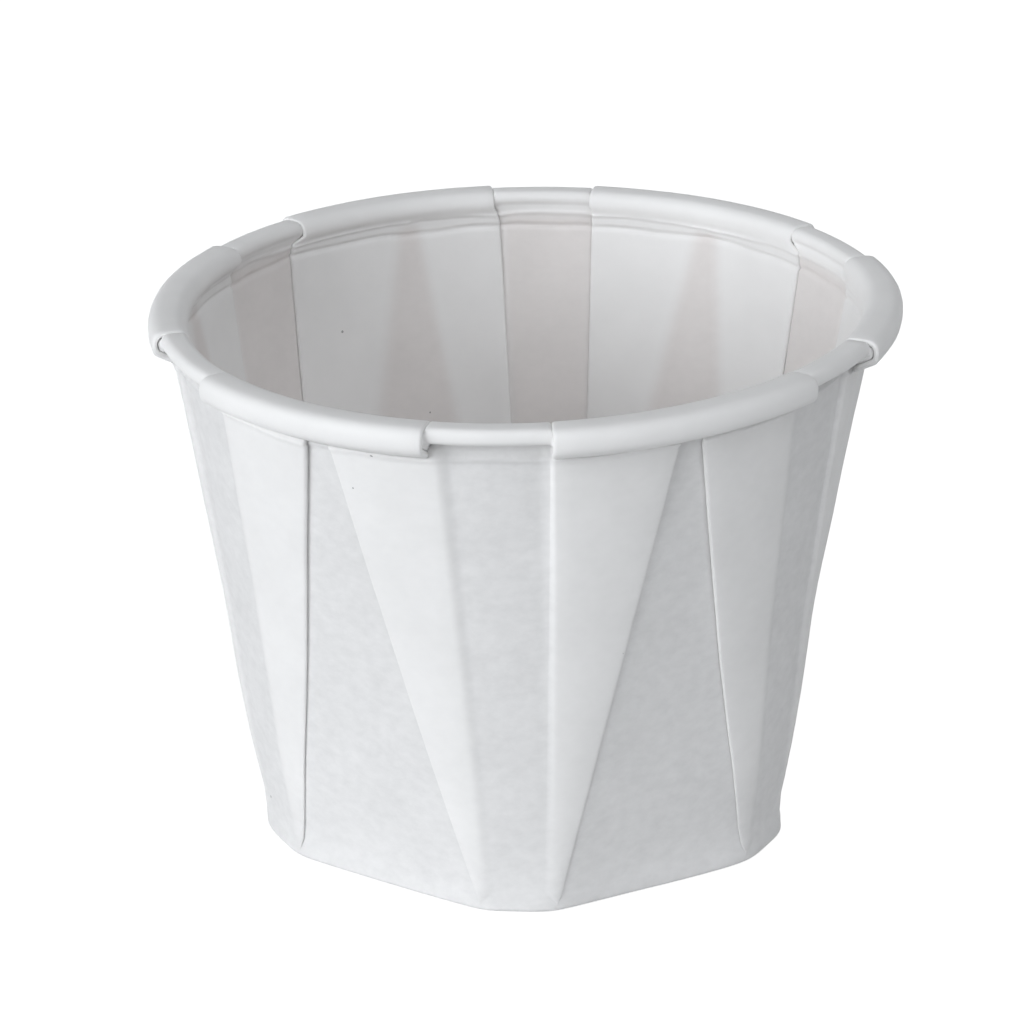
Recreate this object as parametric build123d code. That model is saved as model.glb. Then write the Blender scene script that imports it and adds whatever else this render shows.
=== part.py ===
from build123d import *
import math
import os

# A small pleated portion cup, folded from one disc of paper. The disc is pressed to a tapered wall,
# and the paper that is left over at the rim is laid in box pleats, which run out to a point at the
# edge of the base. The rim is rolled outwards over all of the layers.
# Millimetres and degrees. The origin is the centre of the base, +Z is up, and -Y is the front.

# Overall sizes. The base is measured across its corners, where the wall starts.
HEIGHT = 32.4
RIM_DIAMETER = 44.5
BASE_DIAMETER = 32.7
PLEATS = 6

# The paper, and how closely its layers lie.
PAPER = 0.15
LAYER_GAP = 0.05

# Each pleat has a strip of single paper in its middle and a flap on either side of it. Between
# two pleats a gusset of single paper shows, wide at the base and narrow at the rim.
STRIP_AT_BASE = 4.5
STRIP_AT_RIM = 6.6
GUSSET_AT_RIM = 1.4
FLAP_AT_BASE = 0.7
STRIP_SET_BACK = 0.1
RISER_SLOPE = 45
STRIP_CLEARANCE = 0.08

# The bend between the base and the wall, and where the points of the flaps meet it.
BASE_BEND = 0.45
WALL_START = 1.5
TOE_HEIGHT = 0.4

# The roll of the rim, over three layers of paper, and over the single layer of a strip. It turns in
# over the neck before it turns out, and its edge is tucked back towards the wall.
ROLL_OVERHANG = 2.1
ROLL_HEIGHT = 1.7
STRIP_ROLL_OVERHANG = 1.6
STRIP_ROLL_HEIGHT = 1.15
STRIP_ROLL_DROP = 0.12
ROLL_TURN_IN = 45
ROLL_TURN_UNDER = 60
ROLL_START = 1.3
NECK = 0.9
TUCK_CLEARANCE = 0.2

# Depths are counted outwards from the innermost face of the folded wall.
PITCH = 360 / PLEATS
FRONT = -90
STACK = 3 * PAPER + 2 * LAYER_GAP
GUSSET_FACES = (0, PAPER)
UNDERLAP_FACES = (PAPER + LAYER_GAP, 2 * PAPER + LAYER_GAP)
FLAP_FACES = (2 * PAPER + 2 * LAYER_GAP, STACK)
STRIP_FACES = (STRIP_SET_BACK, STRIP_SET_BACK + PAPER)
RISER_RUN = (FLAP_FACES[0] - STRIP_FACES[0]) / math.tan(math.radians(RISER_SLOPE))
RISER_OFFSET = PAPER * math.tan(math.radians(RISER_SLOPE) / 2)

NECK_RADIUS = RIM_DIAMETER / 2 - ROLL_OVERHANG
NECK_START = HEIGHT - ROLL_START - NECK
BASE_RADIUS = BASE_DIAMETER / 2 - PAPER
LEAN = math.atan((NECK_RADIUS - BASE_RADIUS) / (NECK_START - WALL_START))


def angle_of(length, radius):
    """The angle that an arc of this length takes at this radius, in degrees."""
    return math.degrees(length / radius)


def at(radius, azimuth, height):
    """A point at a radius from the cup's axis. Azimuth 0 is the front."""
    turn = math.radians(azimuth + FRONT)
    return Vector(radius * math.cos(turn), radius * math.sin(turn), height)


class Level:
    """A horizontal section of the folded wall, with straight panels at the base or round ones at the rim."""

    def __init__(self, height, radius, strip_width, flap_width, is_round):
        self.height = height
        self.radius = radius
        self.is_round = is_round
        self.strip_end = angle_of(strip_width / 2, radius)
        self.flap_end = self.strip_end + angle_of(flap_width, radius)

    def point(self, azimuth, depth):
        return at(self.radius + depth, azimuth, self.height)

    def line(self, first, last):
        """A straight edge between two places, each an azimuth and a depth."""
        return Edge.make_line(self.point(*first), self.point(*last))

    def panel(self, start, end, depth):
        """The edge of a panel's face, from one azimuth to another."""
        if not self.is_round:
            return self.line((start, depth), (end, depth))
        middle = self.point((start + end) / 2, depth)
        return Edge.make_three_point_arc(self.point(start, depth), middle, self.point(end, depth))

    def fold(self, azimuth, crest, depths):
        """A pressed fold from one depth to another, through its crest."""
        tip = (crest, sum(depths) / 2)
        return [self.line((azimuth, depths[0]), tip), self.line(tip, (azimuth, depths[1]))]

    def ends(self, side):
        """Where the faces of a skin end, from a pleat's middle. Side 0 is the inner skin, 1 the outer."""
        paper = angle_of(PAPER, self.radius)
        half_gap = angle_of(LAYER_GAP / 2, self.radius)
        rise_end = self.strip_end - angle_of(STRIP_CLEARANCE + side * RISER_OFFSET, self.radius)
        rise_start = rise_end - angle_of(RISER_RUN, self.radius)
        flap = self.flap_end - paper - half_gap
        underlap = self.strip_end + paper + half_gap
        flap_crest = self.flap_end if side else flap
        underlap_crest = underlap if side else self.strip_end
        return rise_start, rise_end, flap, flap_crest, underlap, underlap_crest

    def skin(self, side):
        """The edges of one side of the paper, all the way round."""
        rise_start, rise_end, flap, flap_crest, underlap, underlap_crest = self.ends(side)
        strip_depth = STRIP_FACES[side]
        flap_depth = FLAP_FACES[side]
        underlap_depth = UNDERLAP_FACES[1 - side]
        gusset_depth = GUSSET_FACES[side]
        edges = []
        for pleat in range(PLEATS):
            mid = pleat * PITCH
            after = mid + PITCH
            edges += [
                self.panel(mid - rise_start, mid + rise_start, strip_depth),
                self.line((mid + rise_start, strip_depth), (mid + rise_end, flap_depth)),
                self.panel(mid + rise_end, mid + flap, flap_depth),
                *self.fold(mid + flap, mid + flap_crest, (flap_depth, underlap_depth)),
                self.panel(mid + flap, mid + underlap, underlap_depth),
                *self.fold(mid + underlap, mid + underlap_crest, (underlap_depth, gusset_depth)),
                self.panel(mid + underlap, after - underlap, gusset_depth),
                *self.fold(after - underlap, after - underlap_crest, (gusset_depth, underlap_depth)),
                self.panel(after - underlap, after - flap, underlap_depth),
                *self.fold(after - flap, after - flap_crest, (underlap_depth, flap_depth)),
                self.panel(after - flap, after - rise_end, flap_depth),
                self.line((after - rise_end, flap_depth), (after - rise_start, strip_depth)),
            ]
        return edges


def wall_levels():
    """The sections at the two ends of the wall."""
    flap_at_rim = (2 * math.pi * NECK_RADIUS / PLEATS - STRIP_AT_RIM - GUSSET_AT_RIM) / 2
    lower = Level(WALL_START, BASE_RADIUS, STRIP_AT_BASE, FLAP_AT_BASE, is_round=False)
    upper = Level(NECK_START, NECK_RADIUS, STRIP_AT_RIM, flap_at_rim, is_round=True)
    return lower, upper


def folded_wall(lower, upper):
    """The pleated wall: both sides of the paper are ruled from the lower section to the upper."""
    faces = []
    low_rings = []
    high_rings = []
    for side in (1, 0):
        low_edges = lower.skin(side)
        high_edges = upper.skin(side)
        faces += [Face.make_surface_from_curves(low, high) for low, high in zip(low_edges, high_edges)]
        low_rings.append(Wire(low_edges))
        high_rings.append(Wire(high_edges))
    faces.append(Face(low_rings[0], [low_rings[1]]))
    faces.append(Face(high_rings[0], [high_rings[1]]))
    return Solid(Shell(faces))


def base_outline(level, side):
    """The outline of the base where the wall starts: the strips and gussets, run on to their corners."""
    strip_half, _, _, _, underlap, _ = level.ends(side)
    gusset_half = PITCH / 2 - underlap
    strip_line = (level.radius + STRIP_FACES[side]) * math.cos(math.radians(strip_half))
    gusset_line = (level.radius + GUSSET_FACES[side]) * math.cos(math.radians(gusset_half))
    half_pitch = math.radians(PITCH / 2)
    along = (gusset_line - strip_line * math.cos(half_pitch)) / math.sin(half_pitch)
    corner_radius = math.hypot(strip_line, along)
    corner_turn = math.degrees(math.atan2(along, strip_line))
    corners = []
    for pleat in range(PLEATS):
        corners.append(at(corner_radius, pleat * PITCH - corner_turn, level.height))
        corners.append(at(corner_radius, pleat * PITCH + corner_turn, level.height))
    return Face(Wire.make_polygon(corners))


def rounded_foot(level, side, floor, bend):
    """A block below the wall, tapered down to a floor, with the edge of its foot rounded."""
    block = extrude(base_outline(level, side), amount=floor - level.height)
    sides = block.faces().filter_by(Axis.Z, reverse=True)
    tapered = draft(sides, Plane((0, 0, level.height)), -math.degrees(LEAN))
    return fillet(tapered.edges().group_by(Axis.Z)[0], bend)


def base_pan(level):
    """The flat base and the bend up to the wall, one paper thick."""
    return rounded_foot(level, 1, 0, BASE_BEND) - rounded_foot(level, 0, PAPER, BASE_BEND - PAPER)


def flap_toe(level, pleat, hand):
    """The point of a flap, from the wall's start down to the corner of the base."""
    mid = pleat * PITCH
    rise_start, rise_end, flap, flap_crest, _, _ = level.ends(1)
    outline = [
        level.point(mid + hand * rise_start, STRIP_FACES[0]),
        level.point(mid + hand * rise_start, STRIP_FACES[1]),
        level.point(mid + hand * rise_end, FLAP_FACES[1]),
        level.point(mid + hand * flap, FLAP_FACES[1]),
        level.point(mid + hand * flap_crest, sum(UNDERLAP_FACES) / 2),
        level.point(mid + hand * flap_crest, 0),
    ]
    bend_inset = BASE_BEND - math.sqrt(BASE_BEND**2 - (BASE_BEND - TOE_HEIGHT) ** 2)
    lean_inset = (WALL_START - TOE_HEIGHT) * math.tan(LEAN)
    tip = at(BASE_RADIUS + PAPER / 2 - bend_inset - lean_inset, mid + hand * level.strip_end, TOE_HEIGHT)
    return loft([Face(Wire.make_polygon(outline)), Vertex(*tip)], ruled=True)


def roll_corners(neck, top, overhang, height, depth):
    """The corners that a side of the paper goes round in the roll, from the foot of its neck to its edge."""
    bend = height / 2 - depth
    turn_in = math.radians(ROLL_TURN_IN)
    turn_under = math.radians(ROLL_TURN_UNDER)
    middle = top - height / 2
    inner_centre = neck + height / 2 * math.cos(turn_in)
    outer_centre = neck + overhang - height / 2
    tuck = NECK_RADIUS + STACK + TUCK_CLEARANCE
    chin_run = outer_centre + bend * math.cos(turn_under)
    chin_height = middle - bend * math.sin(turn_under)
    return [
        (neck + depth, NECK_START),
        (inner_centre - bend * math.cos(turn_in), middle - bend * math.sin(turn_in)),
        (inner_centre - bend, middle),
        (inner_centre, middle + bend),
        (outer_centre, middle + bend),
        (outer_centre + bend, middle),
        (chin_run, chin_height),
        (tuck, chin_height - (chin_run - tuck) / math.tan(turn_under)),
    ]


def rolled_side(corners):
    """A side of the paper bent round through the corners of the roll."""
    foot, waist, brink, crown, brow, nose, chin, edge = corners
    return [
        Line(foot, waist),
        ThreePointArc(waist, brink, crown),
        Line(crown, brow),
        ThreePointArc(brow, nose, chin),
        Line(chin, edge),
    ]


def rolled_section(neck, top, overhang, height, thickness, is_creased):
    """The roll in section. The inside of a thick roll is creased from corner to corner."""
    outer = roll_corners(neck, top, overhang, height, 0)
    inner = roll_corners(neck, top, overhang, height, thickness)
    inner_side = Polyline(*inner).edges() if is_creased else rolled_side(inner)
    ends = [Line(outer[0], inner[0]), Line(outer[-1], inner[-1])]
    return Plane.XZ * Face(Wire(rolled_side(outer) + inner_side + ends))


def rolled_rim(level):
    """The rim: one layer over each strip, and the pressed stack over the flaps, which meet in the roll."""
    stack = rolled_section(NECK_RADIUS, HEIGHT, ROLL_OVERHANG, ROLL_HEIGHT, STACK, is_creased=True)
    strip_neck = NECK_RADIUS + STRIP_FACES[0]
    strip_top = HEIGHT - STRIP_ROLL_DROP
    strip_size = (STRIP_ROLL_OVERHANG, STRIP_ROLL_HEIGHT)
    strip = rolled_section(strip_neck, strip_top, *strip_size, PAPER, is_creased=False)
    pieces = []
    for pleat in range(PLEATS):
        strip_start = Rot(0, 0, FRONT + pleat * PITCH - level.strip_end)
        stack_start = Rot(0, 0, FRONT + pleat * PITCH + level.strip_end)
        pieces.append(revolve(strip_start * strip, Axis.Z, 2 * level.strip_end))
        pieces.append(revolve(stack_start * stack, Axis.Z, PITCH - 2 * level.strip_end))
    return pieces


def paper_cup():
    """The whole cup, as one folded piece."""
    lower, upper = wall_levels()
    toes = [flap_toe(lower, pleat, hand) for pleat in range(PLEATS) for hand in (-1, 1)]
    return folded_wall(lower, upper).fuse(base_pan(lower), *toes, *rolled_rim(upper))


os.makedirs("parts", exist_ok=True)
cup = paper_cup()
export_step(cup, "parts/paper_cup.step")
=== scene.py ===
# %% [markdown]
# # A pleated paper portion cup
# The cup starts as a flat disc of paper. A press pushes it into a tapered mould, and the paper that
# is left over at the rim has to go somewhere: it is laid in six box pleats. The top edge is then
# rolled outwards over all of the layers, which locks the pleats.
#
# The solid in the frame has that form already. Here it gets the finer one: a sheet with both of
# its faces, rounded folds, a roll that steps down over each single layer, and paper that looks
# like paper.

# %% Load the frame
import math

import bmesh
import bpy
import numpy as np
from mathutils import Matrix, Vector


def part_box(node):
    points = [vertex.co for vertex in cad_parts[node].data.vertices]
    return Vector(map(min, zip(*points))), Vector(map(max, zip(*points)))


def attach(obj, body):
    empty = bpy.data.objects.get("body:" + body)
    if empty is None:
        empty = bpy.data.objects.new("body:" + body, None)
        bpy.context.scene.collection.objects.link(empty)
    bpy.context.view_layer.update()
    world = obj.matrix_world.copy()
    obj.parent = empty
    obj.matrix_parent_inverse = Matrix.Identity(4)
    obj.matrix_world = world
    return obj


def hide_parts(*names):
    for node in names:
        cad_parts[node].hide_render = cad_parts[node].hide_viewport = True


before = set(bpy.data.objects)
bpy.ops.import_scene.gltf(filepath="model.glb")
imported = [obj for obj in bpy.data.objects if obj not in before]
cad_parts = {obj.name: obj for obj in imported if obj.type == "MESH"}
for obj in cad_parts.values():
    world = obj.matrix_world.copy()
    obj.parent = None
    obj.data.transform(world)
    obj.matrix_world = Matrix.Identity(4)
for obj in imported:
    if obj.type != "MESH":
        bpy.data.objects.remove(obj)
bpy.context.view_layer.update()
MM = 0.001


# %% [markdown]
# ## The sizes
# Two sizes are read from the frame, so the sheet starts as tall and as wide as the solid. The rest
# are the sizes of the folds. They are in millimetres, because a fold of paper is easier to picture
# as 0.15 than as 0.00015, and one value, MM, turns them into Blender's metres.

# %% Sizes of the cup and of its paper
low_corner, high_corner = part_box("paper_cup")
HEIGHT = (high_corner.z - low_corner.z) / MM
RIM_RADIUS = (high_corner.x - low_corner.x) / 2 / MM

PLEATS = 6
HALF_PITCH = math.pi / PLEATS
PAPER = 0.15
LAYER_GAP = 0.05
STACK = 3 * PAPER + 2 * LAYER_GAP

STRIP_AT_BASE = 4.5
STRIP_AT_RIM = 6.6
GUSSET_AT_RIM = 1.4
FLAP_AT_BASE = 0.32
STRIP_SET_BACK = 0.1
CRISP_RISER = 0.28
SOFT_RISER = 1.0
RISER_AT_BASE = 0.8
STRIP_CLEARANCE = 0.02
TUCKED_SHARE = 0.35

WALL_START = 1.5
BASE_RADIUS = 16.2
BASE_BEND = 0.45

NECK_DROP = 2.2
ROLL_OVERHANG = 2.1
NECK_RADIUS = RIM_RADIUS - ROLL_OVERHANG
NECK_START = HEIGHT - NECK_DROP
LEAN = math.atan((NECK_RADIUS - BASE_RADIUS) / (NECK_START - WALL_START))
FLAP_AT_RIM = HALF_PITCH * NECK_RADIUS - STRIP_AT_RIM / 2 - GUSSET_AT_RIM / 2
print(f"the wall leans {math.degrees(LEAN):.1f} degrees")
print(f"a flap grows from {FLAP_AT_BASE} mm at the base to {FLAP_AT_RIM:.1f} mm at the rim")

# %% [markdown]
# ## Half a pleat, seen from above
# A pleat runs through the same steps to its left and to its right, so half of one is enough. The
# paper starts as a strip, steps out over a small riser, becomes the flap, folds back under itself,
# folds forward again, and ends as the gusset that it shares with the next pleat.
#
# The path is a list of places on the paper's middle, each with the way that its outer face looks.
# Moving half a thickness that way, or against it, gives the two faces. A fold is a half circle,
# and the hidden one is pressed some way into the hollow behind the riser.

# %% The path of the paper round half a pleat
STRIP_COLUMNS = 5
RISER_COLUMNS = 5
FLAP_COLUMNS = 7
FOLD_COLUMNS = 6
UNDERLAP_COLUMNS = 5
COVERED_COLUMNS = 6
EDGE_COLUMNS = 3
GUSSET_COLUMNS = 5
FOLD_RADIUS = (PAPER + LAYER_GAP) / 2
FOLD_REACH = FOLD_RADIUS + PAPER / 2
GUSSET_DEPTH = PAPER / 2
UNDERLAP_DEPTH = GUSSET_DEPTH + 2 * FOLD_RADIUS
FLAP_DEPTH = UNDERLAP_DEPTH + 2 * FOLD_RADIUS
STRIP_DEPTH = STRIP_SET_BACK + PAPER / 2
EDGE_SOFTNESS = 0.9
EDGE_SHARE = 0.8


def smooth(share):
    """Eases a share from 0 to 1."""
    share = np.clip(share, 0, 1)
    return share * share * (3 - 2 * share)


def steepness(share):
    """How steeply that ease climbs at a share."""
    return 6 * share * (1 - share)


def run(start, end, count):
    """Even steps from a start up to an end, which is left to the next stretch."""
    return np.linspace(start, end, count, endpoint=False)


def half_pleat(radius, strip, flap, riser):
    """Half a pleat at one height: how far along each point is, how deep, and where it faces."""
    strip_end = strip / 2
    flap_end = strip_end + flap
    rise_end = strip_end - STRIP_CLEARANCE
    rise_start = rise_end - riser
    outer_centre = flap_end - FOLD_REACH
    inner_centre = rise_end - TUCKED_SHARE * riser + FOLD_REACH
    middle = HALF_PITCH * radius
    softness = min(EDGE_SOFTNESS, EDGE_SHARE * (middle - flap_end))
    covered_end = max(inner_centre, flap_end - softness)
    gusset = np.concatenate([
        run(inner_centre, covered_end, COVERED_COLUMNS),
        run(covered_end, flap_end + softness, EDGE_COLUMNS),
        np.linspace(flap_end + softness, middle, GUSSET_COLUMNS)])
    share = run(0, 1, RISER_COLUMNS)
    rise = FLAP_DEPTH - STRIP_DEPTH
    outer_turn = run(0, math.pi, FOLD_COLUMNS)
    inner_turn = run(math.pi, 0, FOLD_COLUMNS)
    stretches = [
        (run(0, rise_start, STRIP_COLUMNS), STRIP_DEPTH, 0),
        (run(rise_start, rise_end, RISER_COLUMNS), STRIP_DEPTH + smooth(share) * rise,
         -np.arctan(steepness(share) * rise / riser)),
        (run(rise_end, outer_centre, FLAP_COLUMNS), FLAP_DEPTH, 0),
        (outer_centre + FOLD_RADIUS * np.sin(outer_turn),
         FLAP_DEPTH - FOLD_RADIUS + FOLD_RADIUS * np.cos(outer_turn), outer_turn),
        (run(outer_centre, inner_centre, UNDERLAP_COLUMNS), UNDERLAP_DEPTH, math.pi),
        (inner_centre - FOLD_RADIUS * np.sin(inner_turn),
         UNDERLAP_DEPTH - FOLD_RADIUS - FOLD_RADIUS * np.cos(inner_turn), inner_turn),
        (gusset, GUSSET_DEPTH, 0),
    ]
    return np.concatenate([np.broadcast_arrays(*stretch) for stretch in stretches], axis=1)


column_count = half_pleat(NECK_RADIUS, STRIP_AT_RIM, FLAP_AT_RIM, CRISP_RISER).shape[1]
print("half a pleat has", column_count, "columns of points")

# %% [markdown]
# ## From the path to a ring
# Near the base the strips and gussets are flat, so the cup stands on twelve short sides. At the
# neck they are round. A flat panel is the same ring with its points pulled in to a straight line,
# which is a distance divided by a cosine. Where two panels meet, the smaller of two distances
# gives a sharp corner, and a soft minimum gives the rounded one that paper takes.

# %% The two rings that the wall is stretched between
CORNER_SOFTNESS = 0.22
PRESSED = 0.35
column = np.arange(column_count)
riser_share = (column - STRIP_COLUMNS) / RISER_COLUMNS
first_gusset = column_count - COVERED_COLUMNS - EDGE_COLUMNS - GUSSET_COLUMNS
corner_turn = STRIP_AT_BASE / 2 / BASE_RADIUS
STRIP_LINE = (BASE_RADIUS + STRIP_SET_BACK) * math.cos(corner_turn)
GUSSET_LINE = BASE_RADIUS * math.cos(HALF_PITCH - corner_turn)


def flat_sided(turn, inset):
    """How far the inner face of the twelve-sided outline is from the axis, some way in from it."""
    strip_side = (STRIP_LINE - inset) / np.cos(turn)
    gusset_side = (GUSSET_LINE - inset) / np.cos(HALF_PITCH - turn)
    return -CORNER_SOFTNESS * np.logaddexp(
        -strip_side / CORNER_SOFTNESS, -gusset_side / CORNER_SOFTNESS)


def offset_of(side):
    """How far a face lies from the paper's middle. Side 0 is the inner face and 1 the outer."""
    return (side - 0.5) * PAPER


def ring(radius, strip, flap, riser, side, is_round):
    """One face of half a pleat: its turn from the pleat's middle, its distance and its depth."""
    along, depth, facing = half_pleat(radius, strip, flap, riser)
    on_riser = (riser_share >= 0) & (riser_share < 1)
    turn = (along + offset_of(side) * np.sin(facing)) / radius
    face_depth = depth + offset_of(side) * np.where(on_riser, 1, np.cos(facing))
    distance = radius + face_depth if is_round else flat_sided(turn, 0) + PRESSED * face_depth
    return turn, distance, face_depth


def base_ring(side):
    """The ring at the wall's start, which has flat sides."""
    return ring(BASE_RADIUS, STRIP_AT_BASE, FLAP_AT_BASE, RISER_AT_BASE, side, is_round=False)


def neck_ring(side, riser):
    """The ring at the neck, which is round."""
    return ring(NECK_RADIUS, STRIP_AT_RIM, FLAP_AT_RIM, riser, side, is_round=True)


def place(turn, distance, height):
    """Points in the cup's own frame. A turn of 0 is the front, which looks along -Y."""
    turn, distance, height = np.broadcast_arrays(turn, distance, height)
    return np.stack([distance * np.sin(turn), -distance * np.cos(turn), height], axis=-1)


print(f"at the base a strip is {STRIP_LINE:.2f} mm and a gusset {GUSSET_LINE:.2f} mm from the axis")

# %% [markdown]
# ## The wall
# Both rings have the same columns, so every column is a straight line from the base to the neck.
# That is what a pressed fold is: straight, whatever the panels beside it do. The rows lie closer
# together just under the neck, because the paper bends there.

# %% The rows of the wall
PLAIN_ROWS = 25
SHOULDER_ROWS = 9
SHOULDER_SHARE = 0.96


def wall_rows(side, riser):
    """The wall of half a pleat, row by row from the base."""
    low_turn, low_distance, _ = base_ring(side)
    high_turn, high_distance, _ = neck_ring(side, riser)
    low = place(low_turn, low_distance, WALL_START)
    high = place(high_turn, high_distance, NECK_START)
    plain = run(0, SHOULDER_SHARE, PLAIN_ROWS)
    shares = np.append(plain, np.linspace(SHOULDER_SHARE, 1, SHOULDER_ROWS))
    return low + shares[:, None, None] * (high - low)


print("the wall has", len(wall_rows(1, CRISP_RISER)), "rows of points")

# %% [markdown]
# ## The roll
# The rim turns in a little over the neck, then out, over and back under. In section it is a line,
# an arc, a line, an arc with a flattened outer side, and a line. A layer that lies deeper in the
# stack goes round the same centres on smaller arcs, so one function gives every layer.

# %% The section of a roll
NECK_ROWS = 12
INNER_ARC_ROWS = 9
OUTER_ARC_ROWS = 11
TAIL_ROWS = 3
TURN_IN = math.radians(45)
TUCK_CLEARANCE = 0.2
ROLL_SQUARENESS = 2.6


def in_section(radius, height):
    """Points of a section, each as its radius and its height."""
    return np.stack(np.broadcast_arrays(radius, height), axis=-1)


def rolled(depth, neck, top, overhang, height, turn_under):
    """The section of each row of a roll, at a depth into its layers."""
    bend = height / 2 - depth
    centre_height = top - height / 2
    inner_centre = neck + height / 2 * math.cos(TURN_IN)
    outer_centre = neck + overhang - height / 2
    inner_arc = np.linspace(math.pi + TURN_IN, math.pi / 2, INNER_ARC_ROWS)[:, None]
    outer_arc = np.linspace(math.pi / 2, -turn_under, OUTER_ARC_ROWS)[:, None]
    across, upwards = np.abs(np.cos(outer_arc)), np.abs(np.sin(outer_arc))
    square = across ** ROLL_SQUARENESS + upwards ** ROLL_SQUARENESS
    reach = bend * square ** (-1 / ROLL_SQUARENESS)
    inner = in_section(
        inner_centre + bend * np.cos(inner_arc), centre_height + bend * np.sin(inner_arc))
    outer = in_section(
        outer_centre + reach * np.cos(outer_arc), centre_height + reach * np.sin(outer_arc))

    foot = in_section(neck + depth, NECK_START)
    chin = outer[-1]
    tuck = NECK_RADIUS + STACK + TUCK_CLEARANCE
    edge = in_section(tuck, chin[:, 1] - (chin[:, 0] - tuck) / math.tan(turn_under))
    neck_share = np.linspace(0, 1, NECK_ROWS + 1)[1:-1, None, None]
    tail_share = np.linspace(0, 1, TAIL_ROWS + 1)[1:, None, None]
    neck_rows = foot + neck_share * (inner[0] - foot)
    tail = chin + tail_share * (edge - chin)
    return np.concatenate([neck_rows, inner, outer, tail])


# %% [markdown]
# ## Thick and thin rolls
# Over the flaps three layers are rolled together. Over a strip there is one, so its roll is
# smaller. The riser between the two is a blend, which leaves the step that shows on the real cup,
# and a dent in the middle of the blend is the dark gap beside the cut end of a thick roll.

# %% The rows of the roll
STRIP_ROLL_DROP = 0.05
STACK_ROLL = dict(
    neck=NECK_RADIUS, top=HEIGHT, overhang=ROLL_OVERHANG, height=1.62,
    turn_under=math.radians(62))
STRIP_ROLL = dict(
    neck=NECK_RADIUS + STRIP_SET_BACK, top=HEIGHT - STRIP_ROLL_DROP, overhang=1.45, height=0.95,
    turn_under=math.radians(85))
ROLL_RISER = 0.22
END_DENT = 0.05


def roll_rows(side, riser):
    """The rolled rim of half a pleat, row by row from the neck to the paper's edge."""
    neck_turn, _, depth = neck_ring(side, riser)
    roll_turn, _, _ = neck_ring(side, ROLL_RISER)
    single = 1 - smooth(riser_share)
    stack_depth = np.where(single > 0, FLAP_DEPTH + offset_of(side), depth)
    stack_roll = rolled(stack_depth, **STACK_ROLL)
    strip_roll = rolled(np.full(column_count, side * PAPER), **STRIP_ROLL)
    section = stack_roll + single[:, None] * (strip_roll - stack_roll)
    up_neck = np.arange(len(section)) / NECK_ROWS
    mid_blend = 4 * single * (1 - single)
    dent = END_DENT * mid_blend * smooth(up_neck - 1)[:, None]
    heart = section[NECK_ROWS:].mean(axis=0)
    section = section + dent[..., None] * (heart - section)
    turn = neck_turn + smooth(up_neck)[:, None] * (roll_turn - neck_turn)
    return place(turn, section[..., 0], section[..., 1])


print("the roll has", len(roll_rows(1, CRISP_RISER)), "rows of points")

# %% [markdown]
# ## The base
# Below the wall the folds run out to a point: there is no spare paper at the base. So the flap,
# the underlap and their folds all close up on the corner between a strip and a gusset, and the
# same rows turn through the bend on to the flat base.

# %% The rows of the bend and of the base
TOE_ROWS = 3
BEND_ROWS = 7
BASE_SHARES = (0.06, 0.25, 0.45, 0.65, 0.82, 0.93)


def bend_profile(side):
    """The foot in section, from the wall's start downwards: how far in it is, and how high."""
    bend = BASE_BEND - (1 - side) * PAPER
    centre_inset = (WALL_START - BASE_BEND) * math.tan(LEAN) + bend / math.cos(LEAN)
    turn = np.linspace(-LEAN, -math.pi / 2, BEND_ROWS)
    inset = centre_inset - bend * np.cos(turn)
    height = BASE_BEND + bend * np.sin(turn)
    toe = np.linspace(0, 1, TOE_ROWS + 2)[1:-1]
    toe_height = WALL_START + toe * (height[0] - WALL_START)
    return np.append(toe * inset[0], inset), np.append(toe_height, height)


def base_rows(side):
    """The base of half a pleat, row by row from near the middle out to the wall's start."""
    turn, distance, _ = base_ring(side)
    strip_share = np.where(column < STRIP_COLUMNS, turn / turn[STRIP_COLUMNS], 1)
    gusset_share = (turn - turn[first_gusset]) / (HALF_PITCH - turn[first_gusset])
    gusset_share = np.where(column < first_gusset, 0, gusset_share)
    plain_turn = strip_share * corner_turn + gusset_share * (HALF_PITCH - corner_turn)
    inset, height = (values[:, None] for values in bend_profile(side))
    plain = place(plain_turn, flat_sided(plain_turn, inset) + side * PRESSED * PAPER, height)
    pleated = place(turn, distance - inset, height)
    closed = smooth((WALL_START - height) / (WALL_START - BASE_BEND))[..., None]
    bend = pleated + closed * (plain - pleated)
    flat = bend[-1] * np.array(BASE_SHARES)[:, None, None]
    flat[..., 2] = bend[-1, :, 2]
    return np.concatenate([flat, bend[::-1]])


print("the base and its bend have", len(base_rows(1)), "rows of points")

# %% [markdown]
# ## How many layers lie where
# One layer lets light through and looks greyer than three, and on a white cup that difference
# draws the pleats as much as shadows do. So each point keeps how many layers of paper lie there,
# and the material paints that light as shade: a greyer white on single layers, and on the inside
# a warmer one, for light that comes through the wall.
# At the base, where the folds run out, it is one everywhere, and in the roll it is three.

# %% Count the layers
FLAP_WHITE_ROWS = PLAIN_ROWS / 3
NECK_WHITE_ROWS = 10


def layers_of(side, rows):
    """The layers at each point of half a pleat, as a share: 0 is one layer and 1 is three."""
    # Seen from inside, a gusset has the folds at its back up to the edge of the flap.
    last_covered = first_gusset + COVERED_COLUMNS
    behind_flap = 0 if side else 1 - smooth((column - last_covered) / EDGE_COLUMNS)
    share = np.where(column < first_gusset, smooth(riser_share), behind_flap)
    first_wall = len(BASE_SHARES) + TOE_ROWS + BEND_ROWS
    first_neck = first_wall + PLAIN_ROWS + SHOULDER_ROWS
    row = np.arange(rows)[:, None]
    up_wall = smooth((row - first_wall + TOE_ROWS) / FLAP_WHITE_ROWS)
    up_neck = smooth((row - first_neck) / NECK_WHITE_ROWS)
    return up_wall * (share + up_neck * (1 - share))


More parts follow.
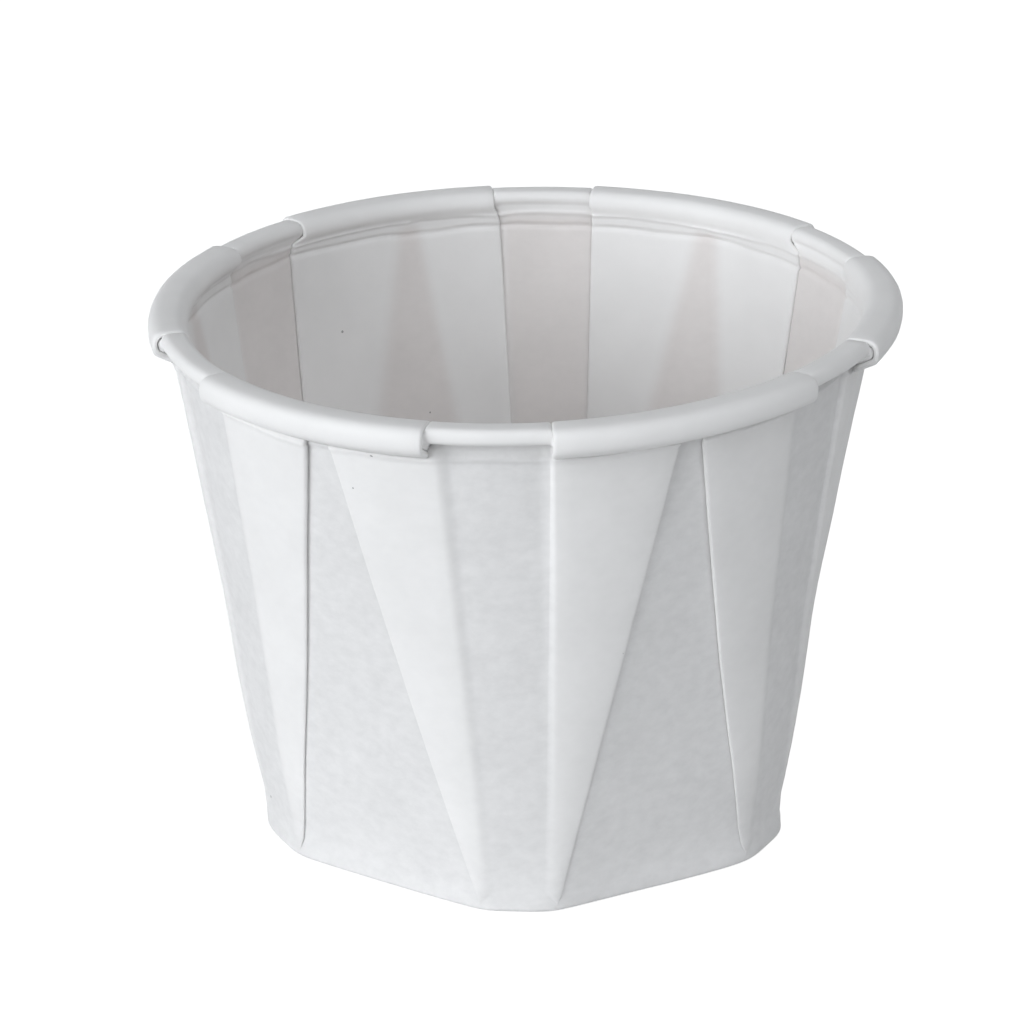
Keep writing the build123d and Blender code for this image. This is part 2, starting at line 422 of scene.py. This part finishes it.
# %% [markdown]
# ## One pleat as a mesh
# The rows of base, wall and roll follow each other without a break, so a face of the paper is one
# grid. Its other face is the same grid a paper's thickness away. The two are joined along the
# edge of the roll, and each closes at the middle of the base.
#
# One side of a real strip is pressed to a crisp step and the other to a soft one, so the two
# halves differ in that, and both grow soft towards the base. Two numbers go with each point, for
# the material to read: the layers, and whether it is inside the cup.

# %% Build the pleat
MIRROR = np.array([-1, 1, 1])


def whole_pleat(side):
    """The rows of a whole pleat, from its soft left half and its crisp right half."""
    left, right = (
        np.concatenate([base_rows(side), wall_rows(side, riser), roll_rows(side, riser)])
        for riser in (SOFT_RISER, CRISP_RISER))
    layers = layers_of(side, len(right))
    grid = np.concatenate([(left * MIRROR)[:, :0:-1], right], axis=1)
    return grid, np.concatenate([layers[:, :0:-1], layers], axis=1)


def add_field(mesh, name, values):
    """Keeps one number at each point of a mesh, for a material to read."""
    attribute = mesh.attributes.new(name, "FLOAT", "POINT")
    attribute.data.foreach_set("value", values.astype(np.float32))


def pleat_mesh():
    """One pleat, from the middle of one gusset to the middle of the next."""
    points, layers, inside, faces, edge_rings = [], [], [], [], []
    count = 0
    for side in (0, 1):
        grid, field = whole_pleat(side)
        rows, wide = grid.shape[:2]
        index = count + 1 + np.arange(rows * wide).reshape(rows, wide)
        points += [[[0, 0, grid[0, 0, 2]]], grid.reshape(-1, 3)]
        layers += [[0], field.ravel()]
        inside += [np.full(rows * wide + 1, 1 - side)]
        quads = np.stack([index[:-1, :-1], index[:-1, 1:], index[1:, 1:], index[1:, :-1]], axis=-1)
        fan = np.stack([np.full(wide - 1, count), index[0, 1:], index[0, :-1]], axis=-1)
        faces += quads.reshape(-1, 4).tolist() + fan.tolist()
        edge_rings.append(index[-1])
        count += rows * wide + 1
    inner, outer = edge_rings
    faces += np.stack([outer[:-1], outer[1:], inner[1:], inner[:-1]], axis=-1).tolist()
    mesh = bpy.data.meshes.new("pleat")
    mesh.from_pydata((np.concatenate(points) * MM).tolist(), [], faces)
    add_field(mesh, "layers", np.concatenate(layers))
    add_field(mesh, "inside", np.concatenate(inside))
    return mesh


pleat = bpy.data.objects.new("pleat", pleat_mesh())
bpy.context.scene.collection.objects.link(pleat)
print("one pleat has", len(pleat.data.polygons), "faces")

# %% [markdown]
# ## Maths with sockets
# A tree of nodes is easier to read as a formula than as a wall of boxes. The small class below
# wraps a socket, so that a plus or a times adds its Math node. Any other node comes from its one
# method. It serves the materials, the sky and the tree that lays the pleats.

# %% A socket that can be added and multiplied


class Flow:
    """An output of a node that takes part in Python's own maths."""

    def __init__(self, socket):
        self.socket = socket

    def node(self, kind, settings, inputs, output=0):
        """Adds any node to the same tree: its settings, then its sockets' values or links."""
        tree = self.socket.id_data
        made = tree.nodes.new(kind)
        for name, value in settings.items():
            setattr(made, name, value)
        for name, value in inputs.items():
            if isinstance(value, Flow):
                tree.links.new(value.socket, made.inputs[name])
            else:
                made.inputs[name].default_value = value
        return Flow(made.outputs[output])

    def maths(self, operation, first, second):
        return self.node("ShaderNodeMath", {"operation": operation}, {0: first, 1: second})

    def __add__(self, other):
        return self.maths("ADD", self, other)

    def __sub__(self, other):
        return self.maths("SUBTRACT", self, other)

    def __rsub__(self, other):
        return self.maths("SUBTRACT", other, self)

    def __mul__(self, other):
        return self.maths("MULTIPLY", self, other)

    def __rtruediv__(self, other):
        return self.maths("DIVIDE", other, self)

    def __lt__(self, other):
        return self.maths("LESS_THAN", self, other)

    __radd__ = __add__
    __rmul__ = __mul__


# %% [markdown]
# ## The paper
# The paper is bleached and has no coating. Close up it is not one white: the fibres lie in small
# clouds, a little stretched along one way, and they show most where a single layer lets light
# through. Here and there a dark fibre has got in. The clouds are noise on the cup's own
# coordinates, so that they stay where they are when the camera moves.

# %% The whites and the grain of the paper
WHITE_LAYERED = (0.918, 0.909, 0.901, 1)
# Painted shade: a single layer is painted greyer than three, for the light that passes through it
# instead of coming back.
SINGLE_LAYER_PAINTED_SHADE = (0.822, 0.815, 0.812, 1)
# Painted shade and light: on the inside a single layer is painted greyer and warmer, for the warm
# light that comes through the wall.
SINGLE_INSIDE_PAINTED_SHADE_AND_WARM_LIGHT = (0.835, 0.800, 0.785, 1)
PAPER_ROUGHNESS = 0.85
PAPER_SPECULAR = 0.25
NOISE_MIDDLE = 0.5
FIBRE_CLOUD = 0.8
FIBRE_STRETCH = 1.3
CLOUD_DETAIL = 3
CLOUD_ROUGHNESS = 0.6
CLOUD_CONTRAST = 0.19
CALM_IN_LAYERS = 0.7
CALM_INSIDE = 0.65
BROAD_CLOUD = 4.0
BROAD_DETAIL = 2
BROAD_CONTRAST = 0.09
SPECK_SPACING = 3.8
SPECK_SIZE = 0.085
SPECK_TONE = 0.55
FIBRE_RELIEF = 0.012
RELIEF_STRENGTH = 0.5


def mixed_colour(factor, first, second):
    """One colour where the factor is 0 and another where it is 1."""
    return factor.node("ShaderNodeMix", {"data_type": "RGBA"}, {
        "Factor": factor, "A": first, "B": second}, "Result")


# %% The material of the paper
def paper_material():
    """Uncoated paper: fibre clouds, a few specks, a faint grain, and single layers painted greyer
    as shade.
    """
    material = bpy.data.materials.new("uncoated_paper")
    material.use_nodes = True
    tree = material.node_tree
    shader = tree.nodes["Principled BSDF"]
    shader.inputs["Roughness"].default_value = PAPER_ROUGHNESS
    shader.inputs["Specular IOR Level"].default_value = PAPER_SPECULAR
    place_on_cup = Flow(tree.nodes.new("ShaderNodeTexCoord").outputs["Object"])
    grain = place_on_cup.node(
        "ShaderNodeMapping", {}, {"Vector": place_on_cup, "Scale": (1, 1, FIBRE_STRETCH)})
    cloud = grain.node("ShaderNodeTexNoise", {}, {
        "Vector": grain, "Scale": 1 / (FIBRE_CLOUD * MM),
        "Detail": CLOUD_DETAIL, "Roughness": CLOUD_ROUGHNESS})
    broad = grain.node("ShaderNodeTexNoise", {}, {
        "Vector": place_on_cup, "Scale": 1 / (BROAD_CLOUD * MM), "Detail": BROAD_DETAIL})
    speck_distance = grain.node("ShaderNodeTexVoronoi", {}, {
        "Vector": place_on_cup, "Scale": 1 / (SPECK_SPACING * MM)})
    layers = grain.node("ShaderNodeAttribute", {"attribute_name": "layers"}, {}, "Fac")
    inside = grain.node("ShaderNodeAttribute", {"attribute_name": "inside"}, {}, "Fac")
    speck = speck_distance < SPECK_SIZE / SPECK_SPACING
    contrast = (1 - layers * CALM_IN_LAYERS) * (1 - inside * CALM_INSIDE) * CLOUD_CONTRAST
    tone = 1 + (cloud - NOISE_MIDDLE) * contrast + (broad - NOISE_MIDDLE) * BROAD_CONTRAST
    tone = tone * (1 - speck * SPECK_TONE)
    # Painted shade and light: single layers get a greyer white, warmer on the inside, in place of
    # light passing through the paper.
    single = mixed_colour(inside, SINGLE_LAYER_PAINTED_SHADE, SINGLE_INSIDE_PAINTED_SHADE_AND_WARM_LIGHT)
    white = mixed_colour(layers, single, WHITE_LAYERED)
    shade = white.node(
        "ShaderNodeVectorMath", {"operation": "SCALE"}, {"Vector": white, "Scale": tone})
    relief = cloud.node("ShaderNodeBump", {}, {
        "Strength": RELIEF_STRENGTH, "Distance": FIBRE_RELIEF * MM, "Height": cloud})
    tree.links.new(shade.socket, shader.inputs["Base Color"])
    tree.links.new(relief.socket, shader.inputs["Normal"])
    return material


paper = paper_material()
pleat.data.materials.append(paper)
print("the paper has", len(paper.node_tree.nodes), "nodes")

# %% [markdown]
# ## Six pleats make a cup
# Geometry Nodes lay the pleat round the axis, turn half of the copies into their mirror image,
# weld the seams, and then press the whole ring a little unevenly, the way that thin paper never
# comes out of a mould quite true. The unevenness comes after the weld, so that it runs across the
# seams.

# %% The inputs of the tree
WELD = 0.0002
WALL_RIPPLE = 0.16
WALL_RIPPLE_SIZE = 7.0
CRUMPLE = 0.05
CRUMPLE_SIZE = 1.6
RIPPLE_SEED = 3.0
CRUMPLE_SEED_STEP = 5.0
RING_INPUTS = {
    "Pleats": ("NodeSocketInt", PLEATS),
    "Weld": ("NodeSocketFloat", WELD * MM),
    "Ripple": ("NodeSocketFloat", WALL_RIPPLE * MM),
    "Ripple Size": ("NodeSocketFloat", WALL_RIPPLE_SIZE * MM),
    "Crumple": ("NodeSocketFloat", CRUMPLE * MM),
    "Crumple Size": ("NodeSocketFloat", CRUMPLE_SIZE * MM),
    "Seed": ("NodeSocketFloat", RIPPLE_SEED),
    "Paper": ("NodeSocketMaterial", paper),
}

# %% Lay the pleats round with Geometry Nodes
# A little under half a turn, so that the copy at half a turn is safely one of the second half.
FIRST_HALF = math.pi - 0.1


def ripple(size, seed):
    """Noise round 0, in waves of about a size."""
    noise = size.node("ShaderNodeTexNoise", {"noise_dimensions": "4D"}, {
        "W": seed, "Scale": 1.0 / size, "Detail": 1.0})
    return noise - NOISE_MIDDLE


def pleat_ring_tree():
    """Copies a pleat round Z, welds the copies and ripples the paper."""
    tree = bpy.data.node_groups.new("pleat_ring", "GeometryNodeTree")
    tree.interface.new_socket("Geometry", in_out="OUTPUT", socket_type="NodeSocketGeometry")
    tree.interface.new_socket("Geometry", in_out="INPUT", socket_type="NodeSocketGeometry")
    for name, (kind, _) in RING_INPUTS.items():
        tree.interface.new_socket(name, in_out="INPUT", socket_type=kind)
    given = {socket.name: Flow(socket) for socket in tree.nodes.new("NodeGroupInput").outputs}
    add = given["Geometry"].node

    points = add("GeometryNodeMeshLine", {}, {"Count": given["Pleats"], "Offset": (0, 0, 0)})
    turn = add("GeometryNodeInputIndex", {}, {}) * (2 * math.pi / given["Pleats"])
    rotation = add("ShaderNodeCombineXYZ", {}, {"Z": turn})
    hand = (turn < FIRST_HALF) * 2.0 - 1.0
    scale = add("ShaderNodeCombineXYZ", {}, {"X": hand, "Y": 1.0, "Z": 1.0})
    copies = add("GeometryNodeInstanceOnPoints", {}, {
        "Points": points, "Instance": given["Geometry"], "Rotation": rotation, "Scale": scale})
    loose = add("GeometryNodeRealizeInstances", {}, {"Geometry": copies})
    welded = add("GeometryNodeMergeByDistance", {}, {"Geometry": loose, "Distance": given["Weld"]})

    broad = ripple(given["Ripple Size"], given["Seed"]) * given["Ripple"]
    fine_seed = given["Seed"] + CRUMPLE_SEED_STEP
    fine = ripple(given["Crumple Size"], fine_seed) * given["Crumple"]
    spot = add("GeometryNodeInputPosition", {}, {})
    flat_spot = add("ShaderNodeVectorMath", {"operation": "MULTIPLY"}, {0: spot, 1: (1, 1, 0)})
    outward = add("ShaderNodeVectorMath", {"operation": "NORMALIZE"}, {0: flat_spot})
    push = add("ShaderNodeVectorMath", {"operation": "SCALE"}, {0: outward, "Scale": broad + fine})
    uneven = add("GeometryNodeSetPosition", {}, {"Geometry": welded, "Offset": push})

    whole = add("GeometryNodeRealizeInstances", {}, {"Geometry": uneven})
    finished = add("GeometryNodeSetMaterial", {}, {"Geometry": whole, "Material": given["Paper"]})
    out = tree.nodes.new("NodeGroupOutput")
    tree.links.new(finished.socket, out.inputs["Geometry"])
    return tree


# %% Run the tree on the pleat
def lay_pleats(source):
    """Returns the ring of pleats as a plain mesh, and takes the single pleat away."""
    modifier = source.modifiers.new("pleat_ring", "NODES")
    modifier.node_group = pleat_ring_tree()
    for item in modifier.node_group.interface.items_tree:
        if item.in_out == "INPUT" and item.name in RING_INPUTS:
            modifier[item.identifier] = RING_INPUTS[item.name][1]
    bpy.context.view_layer.update()
    evaluated = source.evaluated_get(bpy.context.evaluated_depsgraph_get())
    mesh = bpy.data.meshes.new_from_object(evaluated)
    source.modifiers.remove(modifier)
    bpy.data.objects.remove(source)
    return mesh


cup_mesh = lay_pleats(pleat)
print("the ring has", len(cup_mesh.vertices), "points and", len(cup_mesh.polygons), "faces")

# %% [markdown]
# ## Pressed by a machine, not drawn
# On the real cup no two pleats are quite alike, and the rim is neither level nor round. The folds
# have drifted a few degrees to one side or the other, and not by the same at the base as at the
# rim. The photograph gives those degrees for what it shows, and the back of the wall is a guess.
#
# All of them are smooth moves of the whole sheet, so they are made on the points directly: first
# round the axis, then away from it, and then up and sideways.

# %% Round the axis: let the folds drift
# Degrees at each fold from the front strip round to the right: strip, gusset, strip, gusset.
DRIFT_AT_BASE = (1.4, 1.2, 4.0, 1.0, 0.0, -1.2, -4.0, -5.0, 1.6, -4.0, -1.0, 0.2)
DRIFT_AT_NECK = (-2.5, -0.4, 0.5, 0.0, -1.5, -1.2, -0.4, -5.5, 1.6, -4.0, 2.5, 0.6)
DRIFT_IN_ROLL = (-4.0, -0.4, 0.5, 0.0, 2.0, -1.2, 1.0, -5.5, -0.8, -4.0, 0.5, 0.6)


def drift_at(turn, drifts):
    """The drift of the folds at a turn round the cup, eased from one fold to the next."""
    place_in_ring = turn / HALF_PITCH
    before = np.floor(place_in_ring).astype(int)
    share = smooth(place_in_ring - before)
    drift = np.radians(drifts)
    return drift[before % len(drift)] * (1 - share) + drift[(before + 1) % len(drift)] * share


def drifted(turn, up_wall, in_roll):
    """The turn of each point after the drift."""
    at_base, at_neck = drift_at(turn, DRIFT_AT_BASE), drift_at(turn, DRIFT_AT_NECK)
    on_wall = (1 - up_wall) * at_base + up_wall * at_neck
    return turn + on_wall + in_roll * (drift_at(turn, DRIFT_IN_ROLL) - on_wall)


# %% [markdown]
# ## Away from the axis
# The rim is a little oval. The wall bulges low down at its two sides, and the foot is spread by
# the press. Where the roll begins, the paper makes a small shoulder and then a waist above it,
# and both run in an uneven line, because the roll was turned over by force.

# %% Away from the axis: oval, foot, belly, shoulder and waist
RIM_OVAL = 0.78
OVAL_TURN = math.radians(-38)
BELLY = 0.3
BELLY_HEIGHT = 6.5
BELLY_REACH = 10.0
FOOT_FLARE = 0.42
FOOT_OVAL = 0.2
FOOT_LEAN_RIGHT = 0.12
FOOT_FLARE_HEIGHT = 2.2
SHOULDER_HEIGHT = NECK_START - 0.05
SHOULDER = 0.14
SHOULDER_REACH = 0.22
WAIST_HEIGHT = NECK_START + 0.75
WAIST = 0.11
WAIST_REACH = 0.17
# Each wave goes a whole number of times round the cup, and has a start of its own.
NECK_WAVE = 0.06
NECK_WAVES = ((5, 1), (9, 4), (17, 2))
NECK_JITTER = 0.03
NECK_JITTERS = ((23, 5), (37, 3), (61, 0))


def waves_at(turn, waves):
    """The sum of some waves at a turn round the cup."""
    return sum(np.sin(times * turn + start) for times, start in waves)


def ridge(height, middle, reach):
    """A smooth ridge along a line of some height: 1 on the line and 0 at its reach."""
    return smooth(1 - np.abs(height - middle) / reach)


def pressed_out(turn, distance, height, up_wall, outside_neck):
    """The distance of each point from the axis after the press."""
    wave = NECK_WAVE * waves_at(turn, NECK_WAVES)
    jitter = NECK_JITTER * waves_at(turn, NECK_JITTERS)
    shoulder = SHOULDER * ridge(height, SHOULDER_HEIGHT + wave + jitter, SHOULDER_REACH)
    waist = WAIST * ridge(height, WAIST_HEIGHT - wave / 2 + jitter, WAIST_REACH)
    spread = FOOT_FLARE - FOOT_OVAL * np.cos(2 * turn) + FOOT_LEAN_RIGHT * np.sin(turn)
    from_middle = distance / BASE_RADIUS
    flare = spread * smooth(1 - height / FOOT_FLARE_HEIGHT) * from_middle
    belly = BELLY * ridge(height, BELLY_HEIGHT, BELLY_REACH) * np.sin(turn) ** 2 * from_middle
    oval = RIM_OVAL * up_wall * np.cos(2 * (turn - OVAL_TURN))
    return distance + oval + flare + belly + (1 - outside_neck) * (shoulder - waist)


# %% [markdown]
# ## Up and sideways
# A thin ring gives way like a saddle: up at two ends and down at the two between. The rim also
# tilts a little and stands a hair to the right, and the foot stands a hair forward. The tilt and
# the saddle grow up the wall from nothing, so the base stays flat on the table.

# %% Up and sideways: tilt, saddle and shifts
RIM_TILT_RIGHT = -0.002
RIM_TILT_BACK = 0.008
RIM_SADDLE = 0.11
SADDLE_TURN = math.radians(65)
WALL_SHIFT = -0.02
RIM_SHIFT = 0.2
BASE_SHIFT = (0.02, -0.25)
OUTSIDE_EASE = 0.3
ROLL_EASE = 0.6


def settle(mesh):
    """Moves the points of the finished ring."""
    points = np.zeros(len(mesh.vertices) * 3)
    mesh.vertices.foreach_get("co", points)
    points = points.reshape(-1, 3) / MM
    turn = np.arctan2(points[:, 0], -points[:, 1])
    distance = np.hypot(points[:, 0], points[:, 1])
    height = np.maximum(points[:, 2], 0)
    up_wall = np.clip((height - WALL_START) / (NECK_START - WALL_START), 0, 1)
    outside_neck = smooth((distance - NECK_RADIUS - STACK) / OUTSIDE_EASE)
    in_roll = np.maximum(smooth((height - WAIST_HEIGHT) / ROLL_EASE), outside_neck)

    turn = drifted(turn, up_wall, in_roll)
    moved = place(turn, pressed_out(turn, distance, height, up_wall, outside_neck), height)
    saddle = RIM_SADDLE * np.cos(2 * (turn - SADDLE_TURN))
    tilt = RIM_TILT_RIGHT * moved[:, 0] + RIM_TILT_BACK * moved[:, 1]
    moved[:, 2] += up_wall * (tilt + saddle)
    right_at_top = WALL_SHIFT + in_roll * (RIM_SHIFT - WALL_SHIFT)
    moved[:, 0] += up_wall * right_at_top + (1 - up_wall) * BASE_SHIFT[0]
    moved[:, 1] += (1 - up_wall) * BASE_SHIFT[1]
    mesh.vertices.foreach_set("co", (moved * MM).ravel())
    mesh.update()


settle(cup_mesh)
cup = bpy.data.objects.new("pleated_cup", cup_mesh)
bpy.context.scene.collection.objects.link(cup)
wide, _, high = cup.dimensions / MM
print(f"the settled cup is {wide:.1f} mm wide and {high:.1f} mm high")

# %% [markdown]
# ## Check the sheet
# A sheet of paper with two faces is a closed surface. If every edge has exactly two faces, there
# is no hole, no stray face and no open seam, and the normals can be turned outwards safely.

# %% Point the faces outwards and look for open edges
sheet = bmesh.new()
sheet.from_mesh(cup_mesh)
bmesh.ops.recalc_face_normals(sheet, faces=sheet.faces)
open_edges = sum(1 for edge in sheet.edges if len(edge.link_faces) != 2)
triangles = sum(len(face.verts) - 2 for face in sheet.faces)
volume = sheet.calc_volume(signed=True) / MM**3
sheet.to_mesh(cup_mesh)
sheet.free()
cup_mesh.shade_smooth()
print(f"open edges {open_edges}, triangles {triangles}, volume {volume:.0f} mm3")
print("materials:", len(cup_mesh.materials))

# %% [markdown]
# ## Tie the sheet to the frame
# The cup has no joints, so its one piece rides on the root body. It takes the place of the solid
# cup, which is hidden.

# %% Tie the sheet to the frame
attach(cup, "root")
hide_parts("paper_cup")

# %% [markdown]
# ## The floor
# A white floor that is lit to pure white would throw far too much light back on a white cup. So
# the camera sees a white floor that keeps its shadow, and the cup sees a plain pale one. It lies a
# hair under the base, because two surfaces in one plane flicker through each other.

# %% The floor
FLOOR_SIZE = 4.0
FLOOR_HEIGHT = -0.02 * MM
FLOOR_TONE = (0.8, 0.8, 0.8, 1)
SHADOW_TONE = (0.4, 0.4, 0.4, 1)
FLOOR_GLOW = 0.86
WHITE = (1, 1, 1, 1)


def seen_by_camera(tree):
    """1 on the rays that the camera sees, also by way of a shine or of glass, and 0 on others."""
    rays = tree.nodes.new("ShaderNodeLightPath")
    straight, shiny, clear = (
        Flow(rays.outputs[f"Is {kind} Ray"]) for kind in ("Camera", "Glossy", "Transmission"))
    return straight.maths("MAXIMUM", straight, straight.maths("MAXIMUM", shiny, clear))


def floor_material():
    """A pale floor that reads as white to the camera and still shows a shadow."""
    material = bpy.data.materials.new("pale_floor")
    material.use_nodes = True
    tree = material.node_tree
    tree.nodes.remove(tree.nodes["Principled BSDF"])
    seen = seen_by_camera(tree)
    matte = seen.node("ShaderNodeBsdfDiffuse", {}, {"Color": FLOOR_TONE})
    shadow_catcher = seen.node("ShaderNodeBsdfDiffuse", {}, {"Color": SHADOW_TONE})
    glow = seen.node("ShaderNodeEmission", {}, {"Color": WHITE, "Strength": FLOOR_GLOW})
    shown = seen.node("ShaderNodeAddShader", {}, {0: shadow_catcher, 1: glow})
    mixed = seen.node("ShaderNodeMixShader", {}, {0: seen, 1: matte, 2: shown})
    tree.links.new(mixed.socket, tree.nodes["Material Output"].inputs["Surface"])
    return material


floor_mesh = bpy.data.meshes.new("floor")
half = FLOOR_SIZE / 2
corners = [
    (x, y, FLOOR_HEIGHT) for x, y in ((-half, -half), (half, -half), (half, half), (-half, half))]
floor_mesh.from_pydata(corners, [], [(0, 1, 2, 3)])
floor_mesh.materials.append(floor_material())
floor = bpy.data.objects.new("floor", floor_mesh)
bpy.context.scene.collection.objects.link(floor)
print("the floor is", FLOOR_SIZE, "m wide")

# %% [markdown]
# ## Light
# A soft and low key from the left draws the folds. A weaker lamp from the upper right keeps that
# side from going dull, one overhead reaches down into the mouth, and a low one behind is there for
# the views from the back. Together they light a face that looks at the key to about the tone that
# its colour says.

# %% The lamps
DAYLIGHT = (0.945, 0.972, 1.0)
LAMP_SOFTNESS = math.radians(60)


def direction(azimuth, elevation):
    """The way from the cup to something far. Azimuth 0 is the front and 90 the right."""
    turn, rise = math.radians(azimuth), math.radians(elevation)
    return Vector(place(turn, math.cos(rise), math.sin(rise)).tolist())


def add_sun(name, azimuth, elevation, strength):
    """A far lamp that shines from an azimuth and an elevation."""
    lamp = bpy.data.lights.new(name, "SUN")
    lamp.energy = strength
    lamp.angle = LAMP_SOFTNESS
    lamp.color = DAYLIGHT
    sun = bpy.data.objects.new(name, lamp)
    sun.rotation_mode = "QUATERNION"
    sun.rotation_quaternion = direction(azimuth, elevation).to_track_quat("Z", "Y")
    bpy.context.scene.collection.objects.link(sun)


add_sun("key", azimuth=-50, elevation=5, strength=3.42)
add_sun("fill", azimuth=40, elevation=40, strength=0.95)
add_sun("overhead", azimuth=0, elevation=75, strength=0.34)
add_sun("behind", azimuth=165, elevation=6, strength=0.6)
print("the scene has", len(bpy.data.lights), "lamps")

# %% [markdown]
# ## The sky
# The sky is like the floor: the camera sees it white, as the background of the photograph is, and
# the cup gets only a little light from it.

# %% The sky
SKY = 0.06

world = bpy.data.worlds.new("sky")
world.use_nodes = True
bpy.context.scene.world = world
background = world.node_tree.nodes["Background"]
sky_strength = SKY + seen_by_camera(world.node_tree) * (1 - SKY)
background.inputs["Color"].default_value = WHITE
world.node_tree.links.new(sky_strength.socket, background.inputs["Strength"])
print("the sky lights the cup at", SKY)

# %% [markdown]
# ## The camera
# The photograph was taken from close by and a little above, with a long lens. The camera stands a
# touch to the right of the front strip, which is why that strip appears to the left of the middle.

# %% The camera
IMAGE_SIZE = 1024
FOCAL_PIXELS = 3493
CUP_CENTRE_PIXELS = (524.6, 547.6)
CAMERA_DISTANCE = 212.2
CAMERA_AZIMUTH = 2.5
CAMERA_ELEVATION = 22.8
SENSOR_WIDTH = 36
NEAREST_SEEN = 0.01

camera_data = bpy.data.cameras.new("camera")
camera_data.sensor_width = SENSOR_WIDTH
camera_data.lens = FOCAL_PIXELS / IMAGE_SIZE * SENSOR_WIDTH
camera_data.shift_x = (IMAGE_SIZE / 2 - CUP_CENTRE_PIXELS[0]) / IMAGE_SIZE
camera_data.shift_y = (CUP_CENTRE_PIXELS[1] - IMAGE_SIZE / 2) / IMAGE_SIZE
camera_data.clip_start = NEAREST_SEEN
camera = bpy.data.objects.new("camera", camera_data)
look = direction(CAMERA_AZIMUTH, CAMERA_ELEVATION)
camera.location = look * CAMERA_DISTANCE * MM + Vector((0, 0, HEIGHT / 2 * MM))
camera.rotation_mode = "QUATERNION"
camera.rotation_quaternion = look.to_track_quat("Z", "Y")
bpy.context.scene.collection.objects.link(camera)
bpy.context.scene.camera = camera
bpy.context.scene.view_settings.view_transform = "Standard"
print(f"the camera stands {CAMERA_DISTANCE} mm away, with a lens of {camera_data.lens:.0f} mm")
